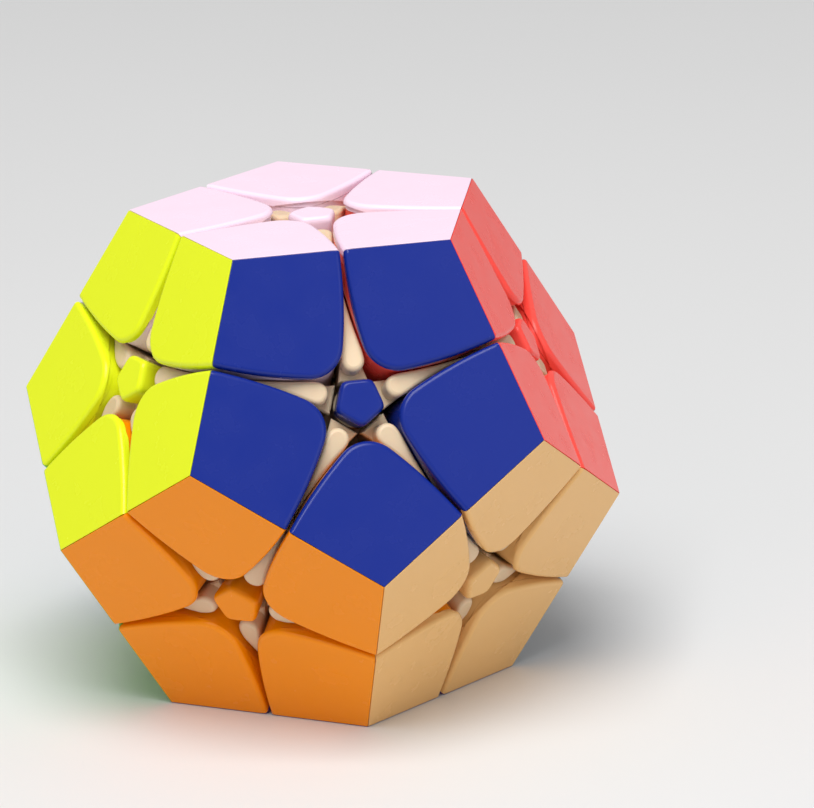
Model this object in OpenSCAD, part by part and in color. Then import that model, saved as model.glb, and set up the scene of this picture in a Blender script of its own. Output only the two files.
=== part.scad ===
// Dodecahedron twisty puzzle with twelve turning layers.
// Millimetres, +Z up, origin at the centre of the core ball.
// The pink face is on top and the purple face lies on the table.

/* [Size] */
// Edge length of the dodecahedron that the coloured faces make
edge_length = 29; // [27:0.5:32]
// Half of the slit between the rims of two neighbouring corner pieces
cut_gap = 0.25; // [0.2:0.05:0.5]

/* [Corner pieces] */
// Half of the wider space below the rims
under_gap = 0.6; // [0.55:0.05:0.7]
// Thickness of the coloured tiles clipped to each corner
tile_thickness = 1.3; // [1.2:0.1:1.8]
// Wall thickness of the corner mouldings
corner_wall = 1.2; // [1:0.1:1.8]

/* [Edge pieces] */
// How far the cream fingers lie below the faces
finger_recess = 2; // [1:0.1:3]
// Half of the width of a finger
finger_half_width = 1.6; // [1.2:0.1:1.8]

/* [Centre pieces] */
// How far the centre knobs lie below the faces
knob_recess = 0.45; // [0.3:0.05:1.5]
// Distance from a knob's middle to each of its five flats
knob_flat = 2.85; // [2.4:0.05:3]

/* [Hidden] */
$fn = 96;
// all mechanism lengths grow with the puzzle
unit = edge_length / 29;
inradius = edge_length * sqrt(250 + 110 * sqrt(5)) / 20;
reach = 2 * inradius;
// angles from the axis of a face
polar_face_up = atan(2);
polar_face_down = 180 - atan(2);
angle_to_edge = atan(2) / 2;
angle_to_corner = acos(inradius / (edge_length * sqrt(3) * (1 + sqrt(5)) / 4));
polar_corner_1 = angle_to_corner;
polar_corner_2 = 180 - 2 * angle_to_edge - angle_to_corner;
polar_corner_3 = 180 - polar_corner_2;
polar_corner_4 = 180 - polar_corner_1;
polar_edge_1 = angle_to_edge;
polar_edge_2 = 90 - angle_to_edge;
polar_edge_3 = 90;
polar_edge_4 = 90 + angle_to_edge;
polar_edge_5 = 180 - angle_to_edge;
// half-angles of the cones that cut the puzzle into layers, from the outside in
cut_outer = 90 - angle_to_edge;
cut_wing = 49;
cut_foot = 54;
slide_gap = 0.2;
finger_gap = 0.3;
// shells of the mechanism
rim_radius = 32.15 * unit;
finger_top = 31.5 * unit;
shell_top = 20.3 * unit;
wing_top = 20 * unit;
wing_bottom = 15.3 * unit;
foot_top = 15 * unit;
foot_bottom = 10.6 * unit;
ball_radius = 10.2 * unit;
// clear cone around a face axis, outside every neighbouring layer
clear_outer = 2 * angle_to_edge - cut_outer;
clear_wing = 2 * angle_to_edge - cut_wing;
// rounded tips of the corner pieces
tip_middle = 16.06;
tip_half_angle = 7.48;
tip_chord = 10.18;
// rounded ends of the fingers
finger_middle = atan(5.95 / 32.29);
finger_half_angle = atan(finger_half_width * unit / (inradius - finger_recess)) * 0.98;
// screws and sleeves
arm_top = 12.4 * unit;
arm_radius = 1.45 * unit;
screw_radius = 0.75;
screw_start = 4.2 * unit;
washer_bottom = 18.6 * unit;
head_bottom = 18.95 * unit;
head_top = 20.2 * unit;
pocket_floor = 15.9 * unit;
neck_top = 27 * unit;
knob_bottom = 27.1 * unit;
knob_top = inradius - knob_recess;

// azimuths of the upper and the lower ring of faces
upper = [-90, -18, 54, 126, 198];
lower = [-126, -54, 18, 90, 162];

// corner feet and edge pieces of each turning group, as polar angle, azimuth and spin
feet_blue_layer = [
    [polar_corner_1, -126, 180],
    [polar_corner_1, -54, 180],
    [polar_corner_2, -126, 0],
    [polar_corner_2, -54, 0],
    [polar_corner_3, -90, 180]
];
feet_white_layer = [
    [polar_corner_1, 90, 180],
    [polar_corner_1, 162, 180],
    [polar_corner_2, 90, 0],
    [polar_corner_2, 162, 0],
    [polar_corner_3, 126, 180]
];
feet_purple_layer = [
    [polar_corner_4, -162, 0],
    [polar_corner_4, -90, 0],
    [polar_corner_4, -18, 0],
    [polar_corner_4, 54, 0],
    [polar_corner_4, 126, 0]
];
feet_frame = [
    [polar_corner_1, 18, 180],
    [polar_corner_2, 18, 0],
    [polar_corner_3, -162, 180],
    [polar_corner_3, -18, 180],
    [polar_corner_3, 54, 180]
];
edges_blue_layer = [
    [polar_edge_1, -90, 0],
    [polar_edge_2, -54, 90],
    [polar_edge_2, -126, 90],
    [polar_edge_3, -72, angle_to_edge],
    [polar_edge_3, -108, -angle_to_edge]
];
edges_white_layer = [
    [polar_edge_1, 126, 0],
    [polar_edge_2, 90, 90],
    [polar_edge_2, 162, 90],
    [polar_edge_3, 144, angle_to_edge],
    [polar_edge_3, 108, -angle_to_edge]
];
edges_purple_layer = [
    [polar_edge_5, -126, 0],
    [polar_edge_5, -54, 0],
    [polar_edge_5, 18, 0],
    [polar_edge_5, 90, 0],
    [polar_edge_5, 162, 0]
];
edges_frame_upper = [
    [polar_edge_1, -18, 0],
    [polar_edge_1, 54, 0],
    [polar_edge_1, -162, 0],
    [polar_edge_2, 18, 90]
];
edges_frame_middle = [
    [polar_edge_3, 0, angle_to_edge],
    [polar_edge_3, -36, -angle_to_edge],
    [polar_edge_3, 72, angle_to_edge],
    [polar_edge_3, 36, -angle_to_edge],
    [polar_edge_3, -144, angle_to_edge],
    [polar_edge_3, -180, -angle_to_edge]
];
edges_frame_lower = [
    [polar_edge_4, -90, 90],
    [polar_edge_4, -18, 90],
    [polar_edge_4, 54, 90],
    [polar_edge_4, 126, 90],
    [polar_edge_4, -162, 90]
];

function colour(name) =
    name == "pink" ? [0.97, 0.82, 0.9]
    : name == "blue" ? [0.1, 0.2, 0.6]
    : name == "red" ? [0.95, 0.28, 0.26]
    : name == "green" ? [0.05, 0.4, 0.18]
    : name == "white" ? [0.95, 0.95, 0.94]
    : name == "yellow" ? [0.93, 0.95, 0.15]
    : name == "orange" ? [0.9, 0.52, 0.03]
    : name == "beige" ? [0.84, 0.68, 0.46]
    : name == "grey" ? [0.5, 0.52, 0.54]
    : name == "sky" ? [0.35, 0.7, 0.9]
    : name == "lime" ? [0.5, 0.8, 0.2]
    : name == "purple" ? [0.42, 0.2, 0.6]
    : [0.9, 0.8, 0.62];

// space inside a layer's cone and under its face, pulled in by a gap
module layer_cone(angle, gap, height) {
    lift = gap / sin(angle);
    translate([0, 0, lift])
        cylinder(h = height - lift, r1 = 0, r2 = (height - lift) * tan(angle));
}

// space that a neighbouring layer sweeps, grown by a gap
module swept_cone(angle, gap) {
    lift = gap / sin(angle);
    translate([0, 0, -lift])
        cylinder(h = 1.2 * inradius, r1 = 0, r2 = 1.2 * inradius * tan(angle));
}

module shell(inner, outer) {
    difference() {
        sphere(r = outer);
        sphere(r = inner);
    }
}

// corner pieces, drawn around +Z with their three faces at 0, 120 and 240 degrees
module corner_space(angle, gap, height) {
    intersection() {
        rotate([0, angle_to_corner, 0])
            layer_cone(angle, gap, height);
        rotate([0, angle_to_corner, 120])
            layer_cone(angle, gap, height);
        rotate([0, angle_to_corner, 240])
            layer_cone(angle, gap, height);
    }
}

// what is taken off to round the three tips beside the knobs
module tip_rounding(turn) {
    rotate([0, angle_to_corner, turn])
        difference() {
            rotate([0, -tip_chord, 0])
                translate([0, -10 * unit, 0])
                    cube([20 * unit, 20 * unit, reach]);
            rotate([0, -tip_middle, 0])
                cylinder(h = reach, r1 = 0, r2 = reach * tan(tip_half_angle));
        }
}

// third part of the corner that belongs to one face, down to the tile's underside
module tile_zone(turn, grow) {
    intersection() {
        rotate([0, 0, turn])
            translate([-grow, 0, 0])
                linear_extrude(height = reach)
                    polygon([[0, 0], [reach, -reach * tan(60)], [reach, reach * tan(60)]]);
        rotate([0, angle_to_corner, turn])
            translate([-reach, -reach, inradius - tile_thickness - grow])
                cube([2 * reach, 2 * reach, 2 * tile_thickness]);
    }
}

module corner_block() {
    difference() {
        union() {
            corner_space(cut_outer, under_gap, inradius);
            difference() {
                corner_space(cut_outer, cut_gap, inradius);
                sphere(r = rim_radius);
            }
        }
        sphere(r = shell_top);
        tip_rounding(0);
        tip_rounding(120);
        tip_rounding(240);
    }
}

module corner_tile(turn) {
    intersection() {
        corner_block();
        tile_zone(turn, -0.04);
    }
}

module corner_moulding() {
    difference() {
        corner_block();
        corner_space(cut_outer, under_gap + corner_wall, inradius - 2 * tile_thickness);
        tile_zone(120, 0.04);
        tile_zone(240, 0.04);
    }
}

// one moulding that carries its own face, and two clipped tiles
module corner(polar, azimuth, spin, own, second, third) {
    rotate([0, polar, azimuth])
        rotate([0, 0, spin]) {
            color(colour(own))
                corner_moulding();
            color(colour(second))
                corner_tile(120);
            color(colour(third))
                corner_tile(240);
        }
}

// foot, stalk and the plate that closes the corner from below
module corner_foot(polar, azimuth, spin) {
    rotate([0, polar, azimuth])
        rotate([0, 0, spin])
        union() {
            intersection() {
                corner_space(cut_foot, slide_gap, inradius);
                shell(foot_bottom, foot_top);
            }
            intersection() {
                corner_space(cut_wing, slide_gap, inradius);
                shell(foot_top - 0.1, shell_top + 0.1);
            }
            intersection() {
                corner_space(cut_outer, under_gap + corner_wall + 0.1, inradius);
                shell(shell_top, shell_top + 1.6);
            }
        }
}

// edge pieces, drawn around +Z with their faces at 0 and 180 degrees
module edge_inside(angle, gap, height) {
    intersection() {
        rotate([0, angle_to_edge, 0])
            layer_cone(angle, gap, height);
        rotate([0, -angle_to_edge, 0])
            layer_cone(angle, gap, height);
    }
}

module edge_neighbours(angle, gap) {
    rotate([0, 90 - angle_to_edge, 90])
        swept_cone(angle, gap);
    rotate([0, 90 - angle_to_edge, -90])
        swept_cone(angle, gap);
}

module finger_rounding(turn) {
    rotate([0, angle_to_edge, turn])
        difference() {
            rotate([0, -finger_middle, 0])
                translate([0, -10 * unit, 0])
                    cube([20 * unit, 20 * unit, reach]);
            rotate([0, -finger_middle, 0])
                cylinder(h = reach, r1 = 0, r2 = reach * tan(finger_half_angle));
        }
}

// the two fingers that show between the corner pieces
module edge_fingers(bottom) {
    difference() {
        intersection() {
            edge_inside(cut_outer, under_gap, inradius - finger_recess);
            sphere(r = finger_top);
            translate([-reach, -finger_half_width * unit, 0])
                cube([2 * reach, 2 * finger_half_width * unit, reach]);
        }
        sphere(r = bottom);
        edge_neighbours(cut_outer, -finger_gap);
        finger_rounding(0);
        finger_rounding(180);
    }
}

module edge_piece(polar, azimuth, spin) {
    rotate([0, polar, azimuth])
        rotate([0, 0, spin])
            union() {
                edge_fingers(shell_top);
                intersection() {
                    edge_fingers(wing_top - 0.1);
                    edge_inside(cut_wing, slide_gap, inradius);
                    sphere(r = shell_top + 0.1);
                }
                difference() {
                    intersection() {
                        edge_inside(cut_wing, slide_gap, inradius);
                        shell(wing_bottom, wing_top);
                    }
                    edge_neighbours(cut_wing, slide_gap);
                }
                difference() {
                    intersection() {
                        edge_inside(cut_wing, slide_gap, inradius);
                        shell(foot_top - 0.1, wing_bottom + 0.1);
                    }
                    edge_neighbours(cut_foot, slide_gap);
                }
                difference() {
                    intersection() {
                        edge_inside(cut_foot, slide_gap, inradius);
                        shell(foot_bottom, foot_top);
                    }
                    edge_neighbours(cut_foot, slide_gap);
                }
            }
}

// centre pieces, drawn around +Z
module hub_outline() {
    slope = tan(clear_outer);
    disc_in = wing_bottom + 0.7 * unit;
    polygon([
        [1 * unit, arm_top + 0.2],
        [1.85 * unit, arm_top + 0.2],
        [1.95 * unit, wing_bottom + 0.1],
        [wing_bottom * tan(clear_wing) - 0.25, wing_bottom + 0.1],
        [wing_top * sin(clear_wing) - 0.25, wing_top * cos(clear_wing)],
        [wing_top * sin(clear_wing * 0.66), wing_top * cos(clear_wing * 0.66)],
        [wing_top * slope + 0.35, wing_top],
        [neck_top * slope + 0.35, neck_top],
        [1.55 * unit, neck_top],
        [1.55 * unit, pocket_floor],
        [1 * unit, pocket_floor]
    ]);
}

module centre_hub(polar, azimuth) {
    color(colour("cream"))
        rotate([0, polar, azimuth])
            rotate_extrude()
                hub_outline();
}

module knob_outline() {
    slope = tan(clear_outer);
    rim = knob_top * slope + 0.38;
    polygon([
        [0, 23.5 * unit],
        [1.45 * unit, 23.5 * unit],
        [1.45 * unit, knob_bottom],
        [knob_bottom * slope + 0.35, knob_bottom],
        [rim, knob_top - 0.75],
        [rim - 0.05, knob_top - 0.5],
        [rim - 0.2, knob_top - 0.25],
        [rim - 0.45, knob_top - 0.08],
        [rim - 0.75, knob_top],
        [0, knob_top]
    ]);
}

// five-sided knob with rounded corners and a plug that fits the hub's neck
module centre_cap(polar, azimuth, spin, name) {
    color(colour(name))
        rotate([0, polar, azimuth])
            rotate([0, 0, spin])
                intersection() {
                    rotate_extrude()
                        knob_outline();
                    linear_extrude(height = reach)
                        circle(r = knob_flat * unit / cos(36), $fn = 5);
                }
}

// the twelve face axes, one after another
module at_faces() {
    children();
    rotate([180, 0, 0])
        children();
    for (turn = upper)
        rotate([0, polar_face_up, turn])
            children();
    for (turn = lower)
        rotate([0, polar_face_down, turn])
            children();
}

module core() {
    color([0.75, 0.68, 0.56])
        difference() {
            union() {
                sphere(r = ball_radius);
                at_faces()
                    translate([0, 0, 8 * unit])
                        cylinder(h = arm_top - 8 * unit, r = arm_radius);
            }
            at_faces()
                translate([0, 0, 4 * unit])
                    cylinder(h = arm_top, r = screw_radius + 0.05);
        }
}

module centre_screws() {
    color([0.7, 0.7, 0.72])
        at_faces()
            difference() {
                union() {
                    translate([0, 0, screw_start])
                        cylinder(h = head_bottom - screw_start + 0.1, r = screw_radius);
                    translate([0, 0, head_bottom])
                        cylinder(h = head_top - head_bottom, r = 1.4 * unit);
                }
                translate([-1, -0.2, head_top - 0.6])
                    cube([2, 0.4, 2]);
                translate([-0.2, -1, head_top - 0.6])
                    cube([0.4, 2, 2]);
            }
}

module spring_washers() {
    color([0.7, 0.7, 0.72])
        at_faces()
            translate([0, 0, washer_bottom])
                difference() {
                    cylinder(h = head_bottom - washer_bottom - 0.05, r = 1.4 * unit);
                    translate([0, 0, -1])
                        cylinder(h = 3, r = screw_radius + 0.05);
                }
}

// one coil spring as a five-sided wire
spring_turns = 3.5;
spring_steps = 35;
spring_radius = 1.17 * unit;
wire_radius = 0.18 * unit;
spring_low = pocket_floor + 0.25 * unit;
spring_rise = washer_bottom - 0.05 - wire_radius - spring_low;
spring_points = [
    for (i = [0:spring_steps])
        for (j = [0:4])
            let (around = 360 * spring_turns * i / spring_steps)
            let (out = spring_radius + wire_radius * cos(72 * j))
            [
                out * cos(around),
                out * sin(around),
                spring_low + spring_rise * i / spring_steps + wire_radius * sin(72 * j)
            ]
];
spring_sides = [
    for (i = [0:spring_steps - 1])
        for (j = [0:4])
            for (half = [0:1])
                let (low = 5 * i)
                let (next = (j + 1) % 5)
                half == 0 ? [low + j, low + next, low + 5 + j] : [low + next, low + 5 + next, low + 5 + j]
];
spring_ends = [
    [4, 3, 2, 1, 0],
    [for (j = [0:4]) 5 * spring_steps + j]
];

module centre_springs() {
    color([0.6, 0.6, 0.63])
        at_faces()
            polyhedron(points = spring_points, faces = concat(spring_sides, spring_ends));
}

// feet of the corners that turn together
module feet(places) {
    color(colour("cream"))
        for (place = places)
            corner_foot(place[0], place[1], place[2]);
}

module edges(places) {
    color(colour("cream"))
        for (place = places)
            edge_piece(place[0], place[1], place[2]);
}

core();
centre_screws();
centre_springs();
spring_washers();
centre_hub(0, 18);  // centre_hub_pink
centre_hub(polar_face_up, -90);  // centre_hub_blue
centre_hub(polar_face_up, -18);  // centre_hub_red
centre_hub(polar_face_up, 54);  // centre_hub_green
centre_hub(polar_face_up, 126);  // centre_hub_white
centre_hub(polar_face_up, 198);  // centre_hub_yellow
centre_hub(polar_face_down, -126);  // centre_hub_orange
centre_hub(polar_face_down, -54);  // centre_hub_beige
centre_hub(polar_face_down, 18);  // centre_hub_grey
centre_hub(polar_face_down, 90);  // centre_hub_sky
centre_hub(polar_face_down, 162);  // centre_hub_lime
centre_hub(180, 18);  // centre_hub_purple
centre_cap(0, 18, 0, "pink");  // centre_cap_pink
centre_cap(polar_face_up, -90, 0, "blue");  // centre_cap_blue
centre_cap(polar_face_up, -18, 0, "red");  // centre_cap_red
centre_cap(polar_face_up, 54, 0, "green");  // centre_cap_green
centre_cap(polar_face_up, 126, 0, "white");  // centre_cap_white
centre_cap(polar_face_up, 198, 0, "yellow");  // centre_cap_yellow
centre_cap(polar_face_down, -126, 180, "orange");  // centre_cap_orange
centre_cap(polar_face_down, -54, 180, "beige");  // centre_cap_beige
centre_cap(polar_face_down, 18, 180, "grey");  // centre_cap_grey
centre_cap(polar_face_down, 90, 180, "sky");  // centre_cap_sky
centre_cap(polar_face_down, 162, 180, "lime");  // centre_cap_lime
centre_cap(180, 18, 0, "purple");  // centre_cap_purple
corner(polar_corner_1, -126, 180, "pink", "yellow", "blue");  // corner_pink_blue_yellow
corner(polar_corner_1, -54, 60, "red", "pink", "blue");  // corner_pink_blue_red
corner(polar_corner_1, 18, 300, "red", "green", "pink");  // corner_pink_red_green
corner(polar_corner_1, 90, 180, "pink", "green", "white");  // corner_pink_green_white
corner(polar_corner_1, 162, 180, "pink", "white", "yellow");  // corner_pink_white_yellow
corner(polar_corner_2, -126, 120, "blue", "yellow", "orange");  // corner_blue_yellow_orange
corner(polar_corner_2, -54, 240, "blue", "beige", "red");  // corner_blue_red_beige
corner(polar_corner_2, 18, 240, "red", "grey", "green");  // corner_red_green_grey
corner(polar_corner_2, 90, 240, "green", "sky", "white");  // corner_green_white_sky
corner(polar_corner_2, 162, 120, "yellow", "white", "lime");  // corner_white_yellow_lime
corner(polar_corner_3, -162, 60, "orange", "yellow", "lime");  // corner_yellow_orange_lime
corner(polar_corner_3, -90, 300, "orange", "beige", "blue");  // corner_blue_orange_beige
corner(polar_corner_3, -18, 300, "beige", "grey", "red");  // corner_red_beige_grey
corner(polar_corner_3, 54, 300, "grey", "sky", "green");  // corner_green_grey_sky
corner(polar_corner_3, 126, 180, "white", "sky", "lime");  // corner_white_sky_lime
corner(polar_corner_4, -162, 120, "orange", "lime", "purple");  // corner_orange_lime_purple
corner(polar_corner_4, -90, 240, "orange", "purple", "beige");  // corner_orange_beige_purple
corner(polar_corner_4, -18, 240, "beige", "purple", "grey");  // corner_beige_grey_purple
corner(polar_corner_4, 54, 120, "sky", "grey", "purple");  // corner_grey_sky_purple
corner(polar_corner_4, 126, 120, "lime", "sky", "purple");  // corner_sky_lime_purple
feet(feet_blue_layer);  // corner_feet_blue_layer
feet(feet_white_layer);  // corner_feet_white_layer
feet(feet_purple_layer);  // corner_feet_purple_layer
feet(feet_frame);  // corner_feet_frame
edges(edges_blue_layer);  // edge_pieces_blue_layer
edges(edges_white_layer);  // edge_pieces_white_layer
edges(edges_purple_layer);  // edge_pieces_purple_layer
edges(edges_frame_upper);  // edge_pieces_frame_upper
edges(edges_frame_middle);  // edge_pieces_frame_middle
edges(edges_frame_lower);  // edge_pieces_frame_lower
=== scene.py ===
import math

import bmesh
import bpy
from mathutils import Matrix, Vector


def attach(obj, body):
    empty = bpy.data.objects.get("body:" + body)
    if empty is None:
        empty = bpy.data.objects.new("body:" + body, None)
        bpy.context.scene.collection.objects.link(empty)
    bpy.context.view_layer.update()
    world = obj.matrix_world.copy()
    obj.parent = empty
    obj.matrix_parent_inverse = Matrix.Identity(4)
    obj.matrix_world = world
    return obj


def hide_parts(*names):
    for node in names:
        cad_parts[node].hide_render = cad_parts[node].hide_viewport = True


# Dodecahedron twisty puzzle: tiles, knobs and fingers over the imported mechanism.

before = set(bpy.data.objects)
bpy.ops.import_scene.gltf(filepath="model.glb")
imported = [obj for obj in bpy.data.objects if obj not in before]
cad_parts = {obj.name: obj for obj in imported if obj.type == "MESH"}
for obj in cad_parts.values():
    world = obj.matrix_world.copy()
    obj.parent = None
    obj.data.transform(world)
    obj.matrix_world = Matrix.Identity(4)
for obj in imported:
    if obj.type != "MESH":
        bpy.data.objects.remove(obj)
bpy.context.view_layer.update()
print("frame loaded:", len(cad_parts), "nodes")

# sizes and angles

puzzle = {
    "edge": 0.029,  # edge length of the dodecahedron
    "slit": 0.00025,  # half of the slit between two corners, at their rims
    "underSlit": 0.0006,  # half of the wider space below the rims
    "rimReach": 0.03215,  # distance from the core's centre down to which the rims go
    "tipRadius": 0.0046,  # rounding of the kites beside the knob
    "sidePoints": 24,  # points along one side of a kite
    "tipPoints": 20,  # points round its tip
    "measurePoints": 160,  # points of the side that the tip is fitted to
}
halvings = 40  # steps of every search by halves

edgeLength = puzzle["edge"]
inradius = edgeLength * math.sqrt(250 + 110 * math.sqrt(5)) / 20
apothem = edgeLength / (2 * math.tan(math.radians(36)))
faceRadius = edgeLength / (2 * math.sin(math.radians(36)))
faceAngle = math.degrees(math.atan(2))  # between two neighbouring face axes
angleToEdge = faceAngle / 2
angleToCorner = math.degrees(math.atan(faceRadius / inradius))
cutAngle = 90 - angleToEdge  # half-angle of the cones that cut the layers

faces = {  # polar angle, azimuth, spin of the knob
    "pink": (0, 18, 0),
    "blue": (faceAngle, -90, 0),
    "red": (faceAngle, -18, 0),
    "green": (faceAngle, 54, 0),
    "white": (faceAngle, 126, 0),
    "yellow": (faceAngle, 198, 0),
    "orange": (180 - faceAngle, -126, 180),
    "beige": (180 - faceAngle, -54, 180),
    "grey": (180 - faceAngle, 18, 180),
    "sky": (180 - faceAngle, 90, 180),
    "lime": (180 - faceAngle, 162, 180),
    "purple": (180, 18, 0),
}
layers = ["blue", "white", "purple"]  # faces whose whole layer turns


def axisAt(polar, azimuth):
    p, a = math.radians(polar), math.radians(azimuth)
    return Vector((math.sin(p) * math.cos(a), math.sin(p) * math.sin(a), math.cos(p)))


def turnTo(polar, azimuth, spin):
    return (
        Matrix.Rotation(math.radians(azimuth), 3, "Z")
        @ Matrix.Rotation(math.radians(polar), 3, "Y")
        @ Matrix.Rotation(math.radians(spin), 3, "Z")
    )


def insideCone(point, axis, halfAngle, gap):
    shifted = point - axis * (gap / math.sin(math.radians(halfAngle)))
    return shifted.dot(axis) >= shifted.length * math.cos(math.radians(halfAngle))


def firstExit(test, low, high):
    # the last value from low on for which test still holds
    for _ in range(halvings):
        middle = (low + high) / 2
        if test(middle):
            low = middle
        else:
            high = middle
    return low


def bodyOfFaces(names):
    for layer in layers:
        if layer in names:
            return layer + "_layer"
    return "frame"


# every corner as (polar, azimuth, spin) with its colours, the moulding's own colour first
faceAxes = {name: axisAt(polar, azimuth) for name, (polar, azimuth, _) in faces.items()}
ownColours = {
    "pink_blue_yellow": "pink", "pink_blue_red": "red", "pink_red_green": "red",
    "pink_green_white": "pink", "pink_white_yellow": "pink", "blue_yellow_orange": "blue",
    "blue_red_beige": "blue", "red_green_grey": "red", "green_white_sky": "green",
    "white_yellow_lime": "yellow", "yellow_orange_lime": "orange", "blue_orange_beige": "orange",
    "red_beige_grey": "beige", "green_grey_sky": "grey", "white_sky_lime": "white",
    "orange_lime_purple": "orange", "orange_beige_purple": "orange", "beige_grey_purple": "beige",
    "grey_sky_purple": "sky", "sky_lime_purple": "lime",
}


def polarOf(direction):
    polar = math.degrees(math.acos(max(-1, min(1, direction.z))))
    return polar, math.degrees(math.atan2(direction.y, direction.x))


def spinTowards(polar, azimuth, target):
    # azimuth of target as seen by a part that stands on (polar, azimuth)
    local = turnTo(polar, azimuth, 0).transposed() @ target
    return math.degrees(math.atan2(local.y, local.x))


corners = []
for name, own in ownColours.items():
    colours = name.split("_")
    middle = sum((faceAxes[c] for c in colours), Vector()).normalized()
    polar, azimuth = polarOf(middle)
    spin = spinTowards(polar, azimuth, faceAxes[own])
    turns = {}
    for colour in colours:
        turns[colour] = turnTo(polar, azimuth, spinTowards(polar, azimuth, faceAxes[colour]))
    corners.append({"node": "corner_" + name, "own": own, "turns": turns, "body": bodyOfFaces(colours)})

edges = []
faceNames = list(faces)
for i, first in enumerate(faceNames):
    for second in faceNames[i + 1:]:
        if faceAxes[first].dot(faceAxes[second]) > 0.4:
            polar, azimuth = polarOf((faceAxes[first] + faceAxes[second]).normalized())
            spin = spinTowards(polar, azimuth, faceAxes[first])
            edges.append({"turn": turnTo(polar, azimuth, spin), "body": bodyOfFaces([first, second])})
print("laid out", len(corners), "corners and", len(edges), "edges")


# mesh helpers

def makeMesh(name, points, polygons, flatFrom=None, sharpAngle=38):
    # flatFrom: polygons from that index on are flat shaded
    mesh = bpy.data.meshes.new(name)
    mesh.from_pydata([tuple(p) for p in points], [], polygons)
    for i, polygon in enumerate(mesh.polygons):
        polygon.use_smooth = flatFrom is None or i < flatFrom
    work = bmesh.new()
    work.from_mesh(mesh)
    bmesh.ops.remove_doubles(work, verts=work.verts, dist=1e-7)
    bmesh.ops.recalc_face_normals(work, faces=work.faces)
    for edge in work.edges:
        if len(edge.link_faces) == 2 and edge.calc_face_angle() > math.radians(sharpAngle):
            edge.smooth = False
    work.to_mesh(mesh)
    work.free()
    return mesh


def closedRings(rings):
    # rings of equal length joined by quads; returns points, polygons and the caps' first index
    size = len(rings[0])
    points = [p for ring in rings for p in ring]
    polygons = []
    for r in range(len(rings) - 1):
        for i in range(size):
            j = (i + 1) % size
            polygons.append([r * size + i, (r + 1) * size + i, (r + 1) * size + j, r * size + j])
    flatFrom = len(polygons)
    polygons.append(list(range(size)))
    last = (len(rings) - 1) * size
    polygons.append([last + i for i in reversed(range(size))])
    return points, polygons, flatFrom


def joinMeshes(name, meshes):
    work = bmesh.new()
    for mesh in meshes:
        work.from_mesh(mesh)
    joined = bpy.data.meshes.new(name)
    work.to_mesh(joined)
    work.free()
    return joined


# materials

def plasticMaterial(name, settings):
    material = bpy.data.materials.new(name)
    material.use_nodes = True
    nodes, links = material.node_tree.nodes, material.node_tree.links
    shader = nodes["Principled BSDF"]
    coordinates = nodes.new("ShaderNodeTexCoord")

    mottle = nodes.new("ShaderNodeTexNoise")
    mottle.inputs["Scale"].default_value = settings["mottleScale"]
    mottle.inputs["Detail"].default_value = 3
    links.new(coordinates.outputs["Object"], mottle.inputs["Vector"])
    tint = nodes.new("ShaderNodeMix")
    tint.data_type = "RGBA"
    shade = settings["shade"]
    tint.inputs[6].default_value = (*[c * (1 - shade) for c in settings["colour"]], 1)
    tint.inputs[7].default_value = (*[min(1, c * (1 + shade)) for c in settings["colour"]], 1)
    links.new(mottle.outputs["Fac"], tint.inputs[0])
    links.new(tint.outputs[2], shader.inputs["Base Color"])

    smudge = nodes.new("ShaderNodeTexNoise")
    smudge.inputs["Scale"].default_value = settings["smudgeScale"]
    smudge.inputs["Detail"].default_value = 4
    links.new(coordinates.outputs["Object"], smudge.inputs["Vector"])
    spread = nodes.new("ShaderNodeMapRange")
    spread.inputs["From Min"].default_value = settings["smudgeRange"][0]
    spread.inputs["From Max"].default_value = settings["smudgeRange"][1]
    spread.inputs["To Min"].default_value = settings["roughness"] - settings["roughnessSpread"]
    spread.inputs["To Max"].default_value = settings["roughness"] + settings["roughnessSpread"]
    links.new(smudge.outputs["Fac"], spread.inputs["Value"])
    links.new(spread.outputs["Result"], shader.inputs["Roughness"])

    grain = nodes.new("ShaderNodeTexNoise")
    grain.inputs["Scale"].default_value = settings["grainScale"]
    grain.inputs["Detail"].default_value = 2
    links.new(coordinates.outputs["Object"], grain.inputs["Vector"])
    bump = nodes.new("ShaderNodeBump")
    bump.inputs["Strength"].default_value = settings["grain"]
    bump.inputs["Distance"].default_value = settings["grainDepth"]
    links.new(grain.outputs["Fac"], bump.inputs["Height"])
    links.new(bump.outputs["Normal"], shader.inputs["Normal"])

    shader.inputs["Metallic"].default_value = settings["metallic"]
    shader.inputs["Specular IOR Level"].default_value = settings["specular"]
    shader.inputs["Coat Weight"].default_value = settings["coat"]
    shader.inputs["Coat Roughness"].default_value = settings["coatRoughness"]
    shader.inputs["Subsurface Weight"].default_value = settings["glow"]
    shader.inputs["Subsurface Scale"].default_value = settings["glowReach"]
    return material


plastic = {
    "mottleScale": 60, "shade": 0.02,
    "smudgeScale": 220, "smudgeRange": (0.3, 0.7), "roughness": 0.25, "roughnessSpread": 0.05,
    "grainScale": 2600, "grain": 0.08, "grainDepth": 0.00005,
    "specular": 0.26, "coat": 0.04, "coatRoughness": 0.12, "metallic": 0,
    "glow": 0, "glowReach": 0.002,
}
plasticColours = {
    "pink": (0.97, 0.74, 0.88),
    "blue": (0.006, 0.022, 0.24),
    "red": (1.0, 0.085, 0.065),
    "green": (0.01, 0.16, 0.05),
    "white": (0.85, 0.85, 0.84),
    "yellow": (0.80, 0.90, 0.012),
    "orange": (0.95, 0.285, 0.0),
    "beige": (0.84, 0.50, 0.19),
    "grey": (0.22, 0.24, 0.26),
    "sky": (0.10, 0.45, 0.78),
    "lime": (0.22, 0.60, 0.05),
    "purple": (0.14, 0.035, 0.32),
}
plasticMaterials = {
    name: plasticMaterial(name + "Plastic", {**plastic, "colour": colour})
    for name, colour in plasticColours.items()
}
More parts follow.
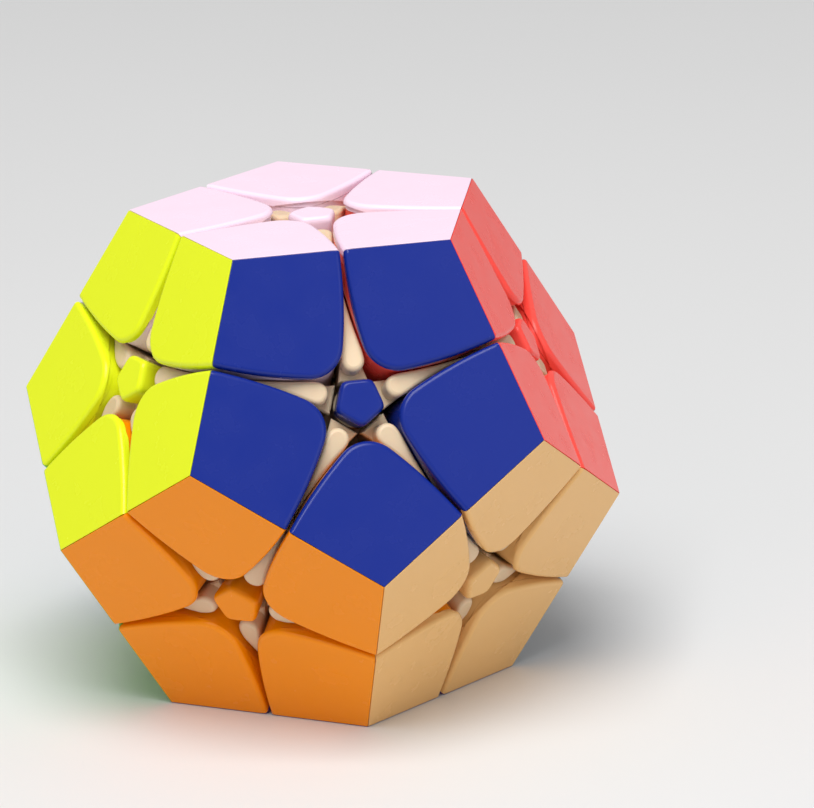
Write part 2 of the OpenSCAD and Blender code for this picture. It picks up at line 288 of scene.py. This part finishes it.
creamMaterial = plasticMaterial("creamPlastic", {
    **plastic, "colour": (0.78, 0.60, 0.40), "roughness": 0.42, "coat": 0.05, "glow": 0.1,
})
coreMaterial = plasticMaterial("corePlastic", {
    **plastic, "colour": (0.45, 0.37, 0.27), "roughness": 0.55, "coat": 0, "grain": 0.2,
})
steelMaterial = plasticMaterial("steel", {
    **plastic, "colour": (0.6, 0.6, 0.62), "roughness": 0.3, "metallic": 1, "specular": 0.5, "coat": 0,
})
print("materials made")


# kite tiles

tile = {
    "thickness": 0.0013,
    "rimRadius": 0.0006,  # rounding towards the slits
    "edgeRadius": 0.00014,  # nearly sharp along the dodecahedron's edges
    "seam": 0.00003,
    "rimSteps": 8,
    "endStep": 0.0012,  # from a slit's end to the first point along the dodecahedron's edge
}


def kiteSide(gap, count):
    # side of the kite from the slit's outer end to its tip, on the face plane at w < 0
    neighbour = axisAt(faceAngle, 36)
    start = Vector((apothem * math.cos(math.radians(36)), apothem * math.sin(math.radians(36))))

    def pointAt(angle):
        step = Vector((math.cos(math.radians(angle)), math.sin(math.radians(angle))))
        reach = firstExit(
            lambda r: insideCone(Vector((*(start + step * r), inradius)), neighbour, cutAngle, gap),
            0, 2 * edgeLength)
        return start + step * reach

    def overEdge(angle):
        point = pointAt(angle)
        return point.x * math.cos(math.radians(36)) - point.y * math.sin(math.radians(36)) >= apothem

    first = firstExit(lambda t: overEdge(-t), 60, 110)
    last = firstExit(lambda t: pointAt(-t).y < 0, 110, 160)
    return [pointAt(-(first + (last - first) * i / count)) for i in range(count + 1)]


def kiteRim(gap, tipRadius):
    # open outline from the slit beside the next face, round the tip, to the other slit
    dense = kiteSide(gap, puzzle["measurePoints"])
    middle = firstExit(
        lambda x: min((p - Vector((x, 0))).length for p in dense) < tipRadius, 0.0, faceRadius)
    centre = Vector((middle, 0))
    touch = min(range(len(dense)), key=lambda i: (dense[i] - centre).length)
    count = puzzle["sidePoints"]
    side = []
    for i in range(count + 1):
        place = touch * i / count
        k = min(int(place), len(dense) - 2)
        side.append(dense[k].lerp(dense[k + 1], place - k))
    away = dense[touch] - centre
    swing = math.pi + math.atan2(away.y, away.x)
    tip = []
    for i in range(1, puzzle["tipPoints"]):
        angle = math.pi + swing * (1 - 2 * i / puzzle["tipPoints"])
        tip.append(centre + tipRadius * Vector((math.cos(angle), math.sin(angle))))
    other = [Vector((p.x, -p.y)) for p in reversed(side)]
    rim = side + tip + other
    return rim[::-1]  # counter-clockwise round the kite


def onFace(point, depth, polar):
    # face-plane point (towards the corner or edge, across) carried towards the core by depth
    p = math.radians(polar)
    along = Vector((-math.cos(p), 0, math.sin(p)))
    normal = Vector((math.sin(p), 0, math.cos(p)))
    place = normal * inradius + along * point.x + Vector((0, -1, 0)) * point.y
    return place * ((inradius - depth) / inradius)


def offsetPoint(before, point, after, byBefore, byAfter):
    # point moved inwards by one distance from each of its two sides
    d1, d2 = (point - before).normalized(), (after - point).normalized()
    n1, n2 = Vector((-d1.y, d1.x)), Vector((-d2.y, d2.x))
    det = n1.x * n2.y - n1.y * n2.x
    if abs(det) < 0.15:
        n = (n1 + n2).normalized()
        return point + n * ((byBefore + byAfter) / 2)
    x = (byBefore * n2.y - n1.y * byAfter) / det
    y = (n1.x * byAfter - n2.x * byBefore) / det
    return point + Vector((x, y))


def tileMesh():
    rim = kiteRim(puzzle["slit"], puzzle["tipRadius"])
    top = Vector((faceRadius, 0))
    outer = [
        rim[-1] + (top - rim[-1]).normalized() * tile["endStep"],
        rim[-1].lerp(top, 0.5),
        top,
        rim[0].lerp(top, 0.5),
        rim[0] + (top - rim[0]).normalized() * tile["endStep"],
    ]
    loop = rim + outer
    size = len(loop)
    rimRadius, edgeRadius, seam = tile["rimRadius"], tile["edgeRadius"], tile["seam"]
    # side i joins the points i and i + 1
    sideRadius = [rimRadius] * (len(rim) - 1) + [edgeRadius] * (len(outer) + 1)
    sideSeam = [0] * (len(rim) - 1) + [seam] * (len(outer) + 1)
    dropRadius = [rimRadius] * len(rim) + [edgeRadius] * len(outer)
    step = puzzle["underSlit"] - puzzle["slit"]
    rings = []
    for level in range(tile["rimSteps"] + 4):
        bend = min(level, tile["rimSteps"]) * math.pi / 2 / tile["rimSteps"]
        inward, down = 1 - math.sin(bend), 1 - math.cos(bend)
        ring = []
        for i in range(size):
            byBefore = sideRadius[i - 1] * inward + sideSeam[i - 1]
            byAfter = sideRadius[i] * inward + sideSeam[i]
            depth = dropRadius[i] * down
            if level > tile["rimSteps"]:
                rimDepth = onFace(loop[i], 0, angleToCorner).length - puzzle["rimReach"]
                stepsIn = i < len(rim) and rimDepth < tile["thickness"]
                depth = max(tile["rimRadius"], rimDepth) if stepsIn else tile["thickness"]
                if level > tile["rimSteps"] + 1 and stepsIn:
                    byBefore, byAfter = byBefore + step, byAfter + step
                if level > tile["rimSteps"] + 2:
                    depth = tile["thickness"]
            moved = offsetPoint(loop[i - 1], loop[i], loop[(i + 1) % size], byBefore, byAfter)
            ring.append(onFace(moved, depth, angleToCorner))
        rings.append(ring)
    points, polygons, flatFrom = closedRings(rings)
    return makeMesh("tileShape", points, polygons, flatFrom)


# corner mouldings

moulding = {
    "wall": 0.0012,
    "roof": 0.0026,  # depth of the hollow below the faces
    "shelf": 0.00136,  # depth that the tiles sit on
    "bottom": 0.02035,  # distance from the core's centre
    "sideReach": 1.15 * inradius,  # mean distance of a kite's sides from the core's centre
}


def cornerRing(rim, place):
    # the rims of all three faces joined into one ring
    ring = []
    for k in range(3):
        spin = Matrix.Rotation(math.radians(120 * k), 3, "Z")
        for point in rim[:-1]:
            ring.append(spin @ place(point))
    return ring


def cupMesh():
    slit, under, wall = puzzle["slit"], puzzle["underSlit"], moulding["wall"]
    reach, bottom = puzzle["rimReach"], moulding["bottom"]
    shrink = bottom / moulding["sideReach"]
    peak = onFace(Vector((faceRadius, 0)), 0, angleToCorner)

    def ringOf(gap, place):
        return cornerRing(kiteRim(gap, puzzle["tipRadius"]), place)

    def shelf(point):
        return onFace(point, moulding["shelf"], angleToCorner)

    def down(point, radius):
        place = shelf(point)
        return place * min(1, radius / place.length)

    rimTop = ringOf(slit, shelf)
    rimLow = ringOf(slit, lambda p: down(p, reach))
    stepIn = ringOf(under, lambda p: down(p, reach))
    for i, low in enumerate(rimLow):
        if low.length < reach - 1e-6:  # no rim left beside the knob
            rimTop[i] = stepIn[i]
            rimLow[i] = stepIn[i]
    outerLow = ringOf(under / shrink, lambda p: down(p, bottom))
    innerLow = ringOf((under + wall) / shrink, lambda p: down(p, bottom))
    innerTop = ringOf(under + wall, lambda p: onFace(p, moulding["roof"], angleToCorner))
    order = [rimTop, rimLow, stepIn, outerLow, innerLow, innerTop]
    size = len(rimTop)
    points = [p for ring in order for p in ring]
    polygons = []
    for r in range(5):
        for i in range(size):
            j = (i + 1) % size
            polygons.append([r * size + i, (r + 1) * size + i, (r + 1) * size + j, r * size + j])
    flatFrom = len(polygons)
    third = size // 3
    for start, depth in ((0, moulding["shelf"]), (5 * size, moulding["roof"])):
        points.append(peak * ((inradius - depth) / inradius))
        for k in range(3):
            sector = [start + (k * third + i) % size for i in range(third + 1)]
            polygons.append(sector + [len(points) - 1])
    return makeMesh("mouldingShape", points, polygons, flatFrom)


# edge pieces

finger = {
    "tip": 0.15 * edgeLength,  # from the knob's axis
    "end": 0.68 * edgeLength,
    "halfWidth": 0.0016,
    "overlap": 0.0003,  # how far it goes into the neighbouring layers' side of the cut
    "recess": 0.0016,  # below the face
    "top": 0.0315,  # farthest from the core's centre
    "rounding": 0.0006,
    "roundingShare": 0.7,  # most of the half-width that the rounding takes up
    "footRadius": {"inner": 0.0204, "outer": 0.0198},  # how deep it goes
    "footBend": 15.5,  # degrees from the knob's axis where inner becomes outer
    "steps": 5,
    "points": 18,
    "tipPoints": 9,
}
edgeShells = [  # cone half-angle towards its own faces, towards its neighbours, and the two radii
    (49, 49, 0.0153, 0.0200),
    (49, 54, 0.0149, 0.0154),
    (54, 54, 0.0106, 0.0150),
]
slideGap = 0.0002
shellSides = 96
shellReach = 40  # degrees from its middle that no shell passes


def slitHalfWidth(along):
    neighbour = axisAt(faceAngle, 72)
    return firstExit(
        lambda w: not insideCone(Vector((along, w, inradius)), neighbour, cutAngle, 0),
        0, 0.5 * edgeLength)


def fingerMesh(turn):
    tip, end, steps, count = finger["tip"], finger["end"], finger["steps"], finger["points"]
    outline = []  # along, half-width
    centre = tip + finger["halfWidth"]
    for i in range(count + 1):
        along = end + (centre - end) * i / count
        outline.append((along, min(finger["halfWidth"], slitHalfWidth(along) + finger["overlap"])))

    def rounded(half, inward):
        return half - min(finger["rounding"], finger["roundingShare"] * half) * inward

    rings = []
    for step in range(steps + 2):
        bend = min(step, steps) * math.pi / 2 / steps
        inward, down = 1 - math.sin(bend), 1 - math.cos(bend)
        flat = [(along, rounded(half, inward)) for along, half in outline]
        radius = rounded(outline[-1][1], inward)
        for k in range(1, finger["tipPoints"] + 1):
            angle = math.pi / 2 + math.pi * k / (finger["tipPoints"] + 1)
            flat.append((centre + radius * math.cos(angle), radius * math.sin(angle)))
        flat += [(along, -rounded(half, inward)) for along, half in reversed(outline)]
        ring = []
        for along, across in flat:
            place = onFace(Vector((along, across)), finger["recess"], angleToEdge)
            place *= min(1, finger["top"] / place.length) * (1 - finger["rounding"] * down / inradius)
            if step > steps:
                outside = math.degrees(math.atan(along / inradius)) > finger["footBend"]
                place = place.normalized() * finger["footRadius"]["outer" if outside else "inner"]
            ring.append(turn @ place)
        rings.append(ring)
    points, polygons, flatFrom = closedRings(rings)
    return makeMesh("fingerShape", points, polygons, flatFrom)


plate = {  # round the knob, between the tips of the kites
    "top": 0.0286,  # distances from the core's centre
    "bottom": 0.0268,
    "end": 0.68 * edgeLength,  # from the knob's axis
    "rounding": 0.0002,
    "points": 40,
    "innerPoints": 12,
}


def plateMesh(turn):
    opposite = axisAt(faceAngle, 0)
    end, count = plate["end"], plate["points"]

    def halfWidth(along):
        return slitHalfWidth(along) + finger["overlap"]

    def innerEnd(across):
        gap = puzzle["underSlit"] * inradius / plate["top"]
        return end - firstExit(
            lambda t: insideCone(Vector((end - t, across, inradius)), opposite, cutAngle, gap), 0, end)

    bend = end - firstExit(lambda t: innerEnd(halfWidth(end - t)) < end - t, 0, 0.95 * end)
    side = []
    for i in range(count + 1):
        along = end + (bend - end) * i / count
        side.append((along, halfWidth(along)))
    widest = side[-1][1]
    rings = []
    for radius, inset in (
        (plate["top"], plate["rounding"]), (plate["top"] - plate["rounding"], 0), (plate["bottom"], 0),
    ):
        flat = [(along, half - inset) for along, half in side]
        for i in range(1, plate["innerPoints"]):
            across = widest * (1 - 2 * i / plate["innerPoints"])
            flat.append((innerEnd(across) + inset, across * (1 - inset / widest)))
        flat += [(along, -(half - inset)) for along, half in reversed(side)]
        rings.append([
            turn @ (onFace(Vector(point), 0, angleToEdge).normalized() * radius) for point in flat])
    points, polygons, flatFrom = closedRings(rings)
    return makeMesh("plateShape", points, polygons, flatFrom)


def shellMesh(ownAngle, neighbourAngle, low, high):
    own = [axisAt(angleToEdge, 0), axisAt(angleToEdge, 180)]
    others = [axisAt(90 - angleToEdge, 90), axisAt(90 - angleToEdge, 270)]

    def allowed(point):
        for axis in own:
            if not insideCone(point, axis, ownAngle, slideGap):
                return False
        for axis in others:
            if insideCone(point, axis, neighbourAngle, -slideGap):
                return False
        return True

    rings = []
    for radius in (high, low):
        ring = []
        for i in range(shellSides):
            azimuth = 360 * i / shellSides
            out = firstExit(lambda t: allowed(axisAt(t, azimuth) * radius), 0, shellReach)
            ring.append(axisAt(out, azimuth) * radius)
        rings.append(ring)
    points, polygons, flatFrom = closedRings(rings)
    points += [Vector((0, 0, high)), Vector((0, 0, low))]
    polygons = polygons[:-2]
    for i in range(shellSides):
        j = (i + 1) % shellSides
        polygons.append([i, j, len(points) - 2])
        polygons.append([shellSides + j, shellSides + i, len(points) - 1])
    return makeMesh("edgeShell", points, polygons, sharpAngle=30)


def edgeMesh():
    meshes = []
    for turn in (Matrix.Identity(3), Matrix.Rotation(math.pi, 3, "Z")):
        meshes += [fingerMesh(turn), plateMesh(turn)]
    for ownAngle, neighbourAngle, low, high in edgeShells:
        meshes.append(shellMesh(ownAngle, neighbourAngle, low, high))
    return joinMeshes("edgeShape", meshes)


# centre knobs

knob = {
    "radius": 0.00326,  # to the rounded corners
    "squareness": 9,
    "flatShare": 0.80,  # flat top against the full outline
    "top": inradius - 0.00046,
    "shoulder": 0.00085,
    "shoulderSteps": 8,
    "bottom": 0.0271,
    "bottomBevel": 0.0001,
    "bottomShare": 0.02,  # of the radius, taken off by the bevel
    "plugBottom": 0.0235,
    "plugRadius": 0.00145,
    "sides": 90,
}


def knobMesh():
    power = knob["squareness"]
    flat = knob["radius"] * math.cos(math.radians(36)) * 2 ** (1 / power)

    def pentagon(angle):
        total = 0
        for k in range(5):
            lean = math.cos(angle - math.radians(36 + 72 * k)) / flat
            total += max(0, lean) ** power
        return total ** (-1 / power)

    slope = math.tan(math.radians(faceAngle - cutAngle))
    top, shoulder = knob["top"], knob["shoulder"]
    # share of the pentagon, share of the round plug, height
    profile = [(0, 1, knob["plugBottom"]), (0, 1, knob["bottom"])]
    low = 1 - (top - shoulder - knob["bottom"]) * slope / knob["radius"]
    profile.append((low - knob["bottomShare"], 0, knob["bottom"]))
    profile.append((low, 0, knob["bottom"] + knob["bottomBevel"]))
    for i in range(knob["shoulderSteps"] + 1):
        bend = i * math.pi / 2 / knob["shoulderSteps"]
        share = 1 - (1 - knob["flatShare"]) * (1 - math.cos(bend))
        profile.append((share, 0, top - shoulder * (1 - math.sin(bend))))
    rings = []
    for share, plug, height in profile:
        ring = []
        for i in range(knob["sides"]):
            angle = 2 * math.pi * i / knob["sides"]
            radius = knob["plugRadius"] * plug if plug else pentagon(angle) * share
            ring.append(Vector((radius * math.cos(angle), radius * math.sin(angle), height)))
        rings.append(ring)
    points, polygons, flatFrom = closedRings(rings)
    return makeMesh("knobShape", points, polygons, flatFrom)


# setting out with geometry nodes

def settingOutTree():
    tree = bpy.data.node_groups.new("setOut", "GeometryNodeTree")
    for name, kind, way in (
        ("Geometry", "NodeSocketGeometry", "INPUT"),
        ("Part", "NodeSocketObject", "INPUT"),
        ("Own part", "NodeSocketObject", "INPUT"),
        ("Material", "NodeSocketMaterial", "INPUT"),
        ("Geometry", "NodeSocketGeometry", "OUTPUT"),
    ):
        tree.interface.new_socket(name, in_out=way, socket_type=kind)
    nodes, links = tree.nodes, tree.links
    given = nodes.new("NodeGroupInput")
    result = nodes.new("NodeGroupOutput")
    turn = nodes.new("GeometryNodeInputNamedAttribute")
    turn.data_type = "FLOAT_VECTOR"
    turn.inputs["Name"].default_value = "turn"
    own = nodes.new("GeometryNodeInputNamedAttribute")
    own.data_type = "BOOLEAN"
    own.inputs["Name"].default_value = "own"
    rotation = nodes.new("FunctionNodeEulerToRotation")
    links.new(turn.outputs["Attribute"], rotation.inputs["Euler"])
    join = nodes.new("GeometryNodeJoinGeometry")
    for socket, chosen in (("Part", None), ("Own part", own)):
        part = nodes.new("GeometryNodeObjectInfo")
        links.new(given.outputs[socket], part.inputs["Object"])
        place = nodes.new("GeometryNodeInstanceOnPoints")
        links.new(given.outputs["Geometry"], place.inputs["Points"])
        links.new(part.outputs["Geometry"], place.inputs["Instance"])
        links.new(rotation.outputs["Rotation"], place.inputs["Rotation"])
        if chosen:
            links.new(chosen.outputs["Attribute"], place.inputs["Selection"])
        links.new(place.outputs["Instances"], join.inputs["Geometry"])
    realize = nodes.new("GeometryNodeRealizeInstances")
    paint = nodes.new("GeometryNodeSetMaterial")
    links.new(join.outputs["Geometry"], realize.inputs["Geometry"])
    links.new(realize.outputs["Geometry"], paint.inputs["Geometry"])
    links.new(given.outputs["Material"], paint.inputs["Material"])
    links.new(paint.outputs["Geometry"], result.inputs["Geometry"])
    return tree


setOut = settingOutTree()
socketIds = {
    item.name: item.identifier for item in setOut.interface.items_tree if item.in_out == "INPUT"
}


def setOutPiece(name, places, part, ownPart, material):
    # places: (3x3 turn, True where the own part stands as well)
    mesh = bpy.data.meshes.new(name + "Places")
    mesh.from_pydata([(0, 0, 0)] * len(places), [], [])
    turn = mesh.attributes.new("turn", "FLOAT_VECTOR", "POINT")
    own = mesh.attributes.new("own", "BOOLEAN", "POINT")
    for i, (matrix, isOwn) in enumerate(places):
        turn.data[i].vector = matrix.to_euler("XYZ")
        own.data[i].value = isOwn
    piece = bpy.data.objects.new(name, mesh)
    bpy.context.collection.objects.link(piece)
    modifier = piece.modifiers.new("setOut", "NODES")
    modifier.node_group = setOut
    modifier[socketIds["Part"]] = part
    if ownPart:
        modifier[socketIds["Own part"]] = ownPart
    modifier[socketIds["Material"]] = material
    bpy.context.view_layer.update()
    evaluated = piece.evaluated_get(bpy.context.evaluated_depsgraph_get())
    result = bpy.data.meshes.new_from_object(evaluated)
    piece.modifiers.remove(modifier)
    piece.data = result
    result.name = name
    return piece


def partObject(mesh):
    return bpy.data.objects.new(mesh.name, mesh)


tilePart = partObject(tileMesh())
mouldingPart = partObject(cupMesh())
edgePart = partObject(edgeMesh())
knobPart = partObject(knobMesh())
print("part shapes made:", len(tilePart.data.polygons), "polygons in a tile")

for body in ["frame"] + [layer + "_layer" for layer in layers]:
    for colour in faces:
        places, nodes = [], []
        for corner in corners:
            if corner["body"] == body and colour in corner["turns"]:
                places.append((corner["turns"][colour], corner["own"] == colour))
                nodes.append(corner["node"])
        if places:
            piece = setOutPiece(
                f"corners_{colour}_{body}", places, tilePart, mouldingPart, plasticMaterials[colour])
            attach(piece, body)
            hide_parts(*nodes)
    places = [(edge["turn"], False) for edge in edges if edge["body"] == body]
    piece = setOutPiece(f"edges_{body}", places, edgePart, None, creamMaterial)
    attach(piece, body)
    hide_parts(*[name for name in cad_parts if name.startswith("edge_pieces_" + body)])
print("corners and edges set out")

for colour, (polar, azimuth, spin) in faces.items():
    body = colour + ("_layer" if colour in layers else "_centre")
    places = [(turnTo(polar, azimuth, spin), False)]
    piece = setOutPiece("knob_" + colour, places, knobPart, None, plasticMaterials[colour])
    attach(piece, body)
    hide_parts("centre_cap_" + colour)
print("knobs set out")

# mechanism carried over from the frame

carried = {"core": coreMaterial}
for name in ("centre_screws", "centre_springs", "spring_washers"):
    carried[name] = steelMaterial
for name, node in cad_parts.items():
    if name.startswith(("centre_hub", "corner_feet")):
        carried[name] = creamMaterial
for name, material in carried.items():
    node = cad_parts[name]
    node.data.materials.clear()
    node.data.materials.append(material)
print("mechanism painted:", len(carried), "nodes")

# floor, light and camera

floorSettings = {"size": 6, "colour": (0.75, 0.75, 0.75), "roughness": 0.6, "gap": 0.00002}
bpy.ops.mesh.primitive_plane_add(
    size=floorSettings["size"], location=(0, 0, -inradius - floorSettings["gap"]))
floor = bpy.context.object
floor.name = "floor"
floor.data.materials.append(plasticMaterial("floorPaint", {
    **plastic, "colour": floorSettings["colour"], "roughness": floorSettings["roughness"],
    "coat": 0, "grain": 0.02, "mottleScale": 3, "smudgeScale": 5, "grainScale": 300,
}))

lights = {  # position, size, power
    "overhead": ((-0.15, -0.4, 1.1), 0.8, 14),
    "left": ((-0.8, -1.1, 0.5), 1.0, 1.2),
    "right": ((0.8, -1.1, 0.5), 1.0, 3),
}
skyLight = 0.32
for name, (place, size, power) in lights.items():
    data = bpy.data.lights.new(name, "AREA")
    data.size = size
    data.energy = power
    lamp = bpy.data.objects.new(name, data)
    lamp.location = place
    lamp.rotation_euler = (-Vector(place)).to_track_quat("-Z", "Y").to_euler()
    bpy.context.collection.objects.link(lamp)

world = bpy.data.worlds.new("studio")
world.use_nodes = True
world.node_tree.nodes["Background"].inputs["Color"].default_value = (1, 1, 1, 1)
world.node_tree.nodes["Background"].inputs["Strength"].default_value = skyLight
bpy.context.scene.world = world
bpy.context.scene.view_settings.view_transform = "Standard"

camera = {
    "azimuth": -10.42, "elevation": 18.08,  # where it stands, from straight in front
    "distance": 0.8654,
    "aim": (0.01161, -0.00094, 0.00414),
    "roll": -2.18,
    "lens": 285,
}
azimuth, elevation = math.radians(camera["azimuth"]), math.radians(camera["elevation"])
place = camera["distance"] * Vector((
    math.sin(azimuth) * math.cos(elevation),
    -math.cos(azimuth) * math.cos(elevation),
    math.sin(elevation)))
cameraData = bpy.data.cameras.new("camera")
cameraData.lens = camera["lens"]
cameraData.clip_start = 0.01
viewer = bpy.data.objects.new("camera", cameraData)
viewer.location = place
look = (Vector(camera["aim"]) - place).to_track_quat("-Z", "Y").to_matrix()
viewer.rotation_euler = (look @ Matrix.Rotation(math.radians(camera["roll"]), 3, "Z")).to_euler()
bpy.context.collection.objects.link(viewer)
bpy.context.scene.camera = viewer
print("floor, light and camera set")
